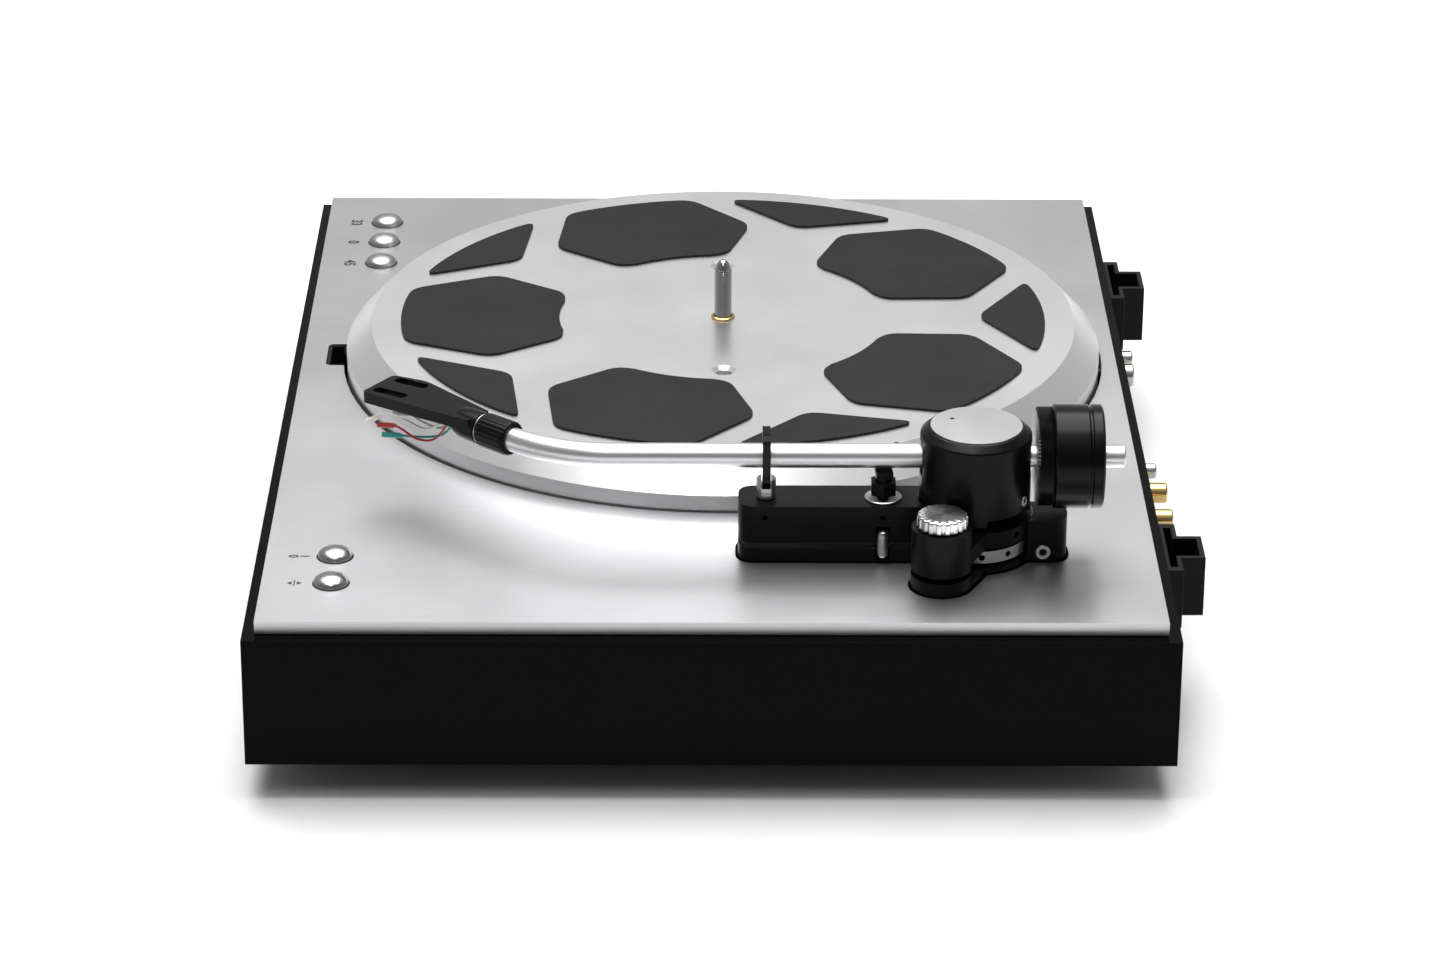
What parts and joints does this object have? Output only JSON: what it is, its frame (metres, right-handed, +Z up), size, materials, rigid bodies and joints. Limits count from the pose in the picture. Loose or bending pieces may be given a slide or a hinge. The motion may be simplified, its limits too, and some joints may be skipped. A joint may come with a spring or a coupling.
{
  "type": "turntable record player",
  "caption": "Turntable with inlaid-pad platter, J-shaped arm, counterweight, lift and rest, buttons and rear sockets; belt drive and springs are guessed.",
  "frame": {"origin": "centre of the bounding box in plan, on the plane of the feet's undersides", "axes": "+X to the operator's right, +Y to the back where the hinge sockets are, +Z up"},
  "size_m": [0.454, 0.369, 0.1324],
  "materials": {
    "gloss_black_lacquer": "gloss lacquer on board",
    "black_panel": "matt black",
    "foot_rubber": "matt",
    "plate_aluminium": "fine brushed, satin",
    "black_plastic": "fine texture",
    "button_chrome": "polished",
    "gold_plate": "gold plated",
    "nickel_plate": "nickel plated",
    "chassis_alloy": "black anodised",
    "spring_steel": "bare wire",
    "motor_steel": "satin",
    "belt_rubber": "matt",
    "turned_steel": "turned, polished spindle",
    "platter_alloy": "fine turned, polished bevel",
    "pad_rubber": "soft matt",
    "arm_base_black": "black anodised",
    "weight_black": "black finish",
    "bright_steel": "satin",
    "knob_alloy": "radially turned",
    "cap_alloy": "satin",
    "tube_alloy": "satin anodised",
    "hook_plastic": "gloss",
    "lead_white_pvc": "soft",
    "lead_red_pvc": "soft",
    "lead_green_pvc": "soft",
    "lead_grey_pvc": "soft"
  },
  "bodies": {
    "plinth": {"plinth_frame": "gloss_black_lacquer", "base_plate": "black_panel", "foot_front_left": "foot_rubber", "foot_front_right": "foot_rubber", "foot_rear_left": "foot_rubber", "foot_rear_right": "foot_rubber", "top_plate": "plate_aluminium", "notch_insert": "black_plastic", "hinge_socket_left": "black_plastic", "hinge_socket_right": "black_plastic", "rca_jack_left": "gold_plate", "rca_jack_right": "gold_plate", "ground_post": "nickel_plate", "power_socket": "nickel_plate", "trigger_socket": "nickel_plate", "motor": "motor_steel", "drive_belt": "belt_rubber", "suspension_spring_1": "spring_steel", "suspension_spring_2": "spring_steel", "suspension_spring_3": "spring_steel"},
    "sub_chassis": {"sub_chassis": "chassis_alloy", "arm_base_lower": "arm_base_black", "guide_pin": "bright_steel"},
    "platter": {"platter": "platter_alloy", "sub_platter": "turned_steel", "spindle_ring": "gold_plate", "pad_large_1": "pad_rubber", "pad_large_2": "pad_rubber", "pad_large_3": "pad_rubber", "pad_large_4": "pad_rubber", "pad_large_5": "pad_rubber", "pad_small_1": "pad_rubber", "pad_small_2": "pad_rubber", "pad_small_3": "pad_rubber", "pad_small_4": "pad_rubber", "pad_small_5": "pad_rubber"},
    "motor_pulley": {"motor_pulley": "gold_plate"},
    "arm_base": {"arm_base_upper": "arm_base_black", "rest_post": "bright_steel", "lift_bushing": "bright_steel"},
    "height_ring": {"height_ring": "bright_steel"},
    "antiskate_knob": {"antiskate_knob": "knob_alloy"},
    "rest_hook": {"rest_hook": "hook_plastic"},
    "lift_platform": {"lift_platform": "black_plastic"},
    "pivot_housing": {"pivot_housing": "arm_base_black", "pivot_cap": "cap_alloy"},
    "arm": {"arm_tube": "tube_alloy", "headshell": "arm_base_black", "lead_white": "lead_white_pvc", "lead_red": "lead_red_pvc", "lead_green": "lead_green_pvc", "lead_blue": "lead_grey_pvc"},
    "headshell_collar": {"headshell_collar": "arm_base_black"},
    "counterweight": {"counterweight": "weight_black"},
    "counterweight_ring": {"counterweight_ring": "weight_black"},
    "button_33": {"button_33": "button_chrome"},
    "button_stop": {"button_stop": "button_chrome"},
    "button_45": {"button_45": "button_chrome"},
    "button_power": {"button_power": "button_chrome"},
    "button_lift": {"button_lift": "button_chrome"}
  },
  "joints": [
    {"name": "suspension", "type": "slide", "parent": "plinth", "child": "sub_chassis", "axis": [0, 0, 1], "range_m": [-0.0015, 0.0025], "stiffness_N_per_m": 6000, "springref_m": 0.0073, "deforming": ["suspension_spring_1", "suspension_spring_2", "suspension_spring_3"]},
    {"name": "platter_spin", "type": "hinge", "parent": "sub_chassis", "child": "platter", "pos_m": [-0.0367, -0.0024, 0.067], "axis": [0, 0, 1], "continuous": true},
    {"name": "pulley_spin", "type": "hinge", "parent": "plinth", "child": "motor_pulley", "pos_m": [-0.12155, -0.08725, 0.067], "axis": [0, 0, 1], "continuous": true},
    {"name": "arm_height", "type": "slide", "parent": "sub_chassis", "child": "arm_base", "axis": [0, 0, 1], "range_m": [-0.001, 0.005]},
    {"name": "height_ring_turn", "type": "hinge", "parent": "sub_chassis", "child": "height_ring", "pos_m": [0.157, 0.0932, 0.079], "axis": [0, 0, 1], "range_deg": [-91, 451]},
    {"name": "antiskate_turn", "type": "hinge", "parent": "arm_base", "child": "antiskate_knob", "pos_m": [0.1885, 0.0792, 0.099], "axis": [0, 0, 1], "range_deg": [0, 300]},
    {"name": "arm_swing", "type": "hinge", "parent": "arm_base", "child": "pivot_housing", "pos_m": [0.157, 0.0932, 0.1124], "axis": [0, 0, -1], "range_deg": [0, 36]},
    {"name": "arm_pitch", "type": "hinge", "parent": "pivot_housing", "child": "arm", "pos_m": [0.157, 0.0932, 0.1124], "axis": [-1, 0, 0], "range_deg": [-1.5, 2.2]},
    {"name": "lift_slide", "type": "slide", "parent": "arm_base", "child": "lift_platform", "axis": [0, 0, 1], "range_m": [-0.001, 0.0015]},
    {"name": "rest_hook_fold", "type": "hinge", "parent": "arm_base", "child": "rest_hook", "pos_m": [0.1587, 0.0129, 0.1015], "axis": [0, 1, 0], "range_deg": [0, 50]},
    {"name": "collar_turn", "type": "hinge", "parent": "arm", "child": "headshell_collar", "pos_m": [0.14253, -0.08471, 0.1124], "axis": [-0.6561, -0.7547, 0], "range_deg": [0, 60]},
    {"name": "weight_slide", "type": "slide", "parent": "arm", "child": "counterweight", "axis": [0, 1, 0], "range_m": [0, 0.005]},
    {"name": "weight_ring_turn", "type": "hinge", "parent": "counterweight", "child": "counterweight_ring", "pos_m": [0.157, 0.12, 0.1124], "axis": [0, 1, 0], "range_deg": [-1, 515]},
    {"name": "button_33_press", "type": "slide", "parent": "plinth", "child": "button_33", "axis": [0, 0, 1], "range_m": [-0.0012, 0], "stiffness_N_per_m": 900, "springref_m": 0.0006},
    {"name": "button_stop_press", "type": "slide", "parent": "plinth", "child": "button_stop", "axis": [0, 0, 1], "range_m": [-0.0012, 0], "stiffness_N_per_m": 900, "springref_m": 0.0006},
    {"name": "button_45_press", "type": "slide", "parent": "plinth", "child": "button_45", "axis": [0, 0, 1], "range_m": [-0.0012, 0], "stiffness_N_per_m": 900, "springref_m": 0.0006},
    {"name": "button_power_press", "type": "slide", "parent": "plinth", "child": "button_power", "axis": [0, 0, 1], "range_m": [-0.0012, 0], "stiffness_N_per_m": 900, "springref_m": 0.0006},
    {"name": "button_lift_press", "type": "slide", "parent": "plinth", "child": "button_lift", "axis": [0, 0, 1], "range_m": [-0.0012, 0], "stiffness_N_per_m": 900, "springref_m": 0.0006}
  ],
  "couplings": [
    {"joint": "pulley_spin", "follows": "platter_spin", "ratio": 10.625},
    {"joint": "height_ring_turn", "follows": "arm_height", "rad_per_m": 1570.8},
    {"joint": "lift_slide", "follows": "arm_pitch", "m_per_rad": 0.0353},
    {"joint": "weight_ring_turn", "follows": "weight_slide", "rad_per_m": 1795.2}
  ]
}
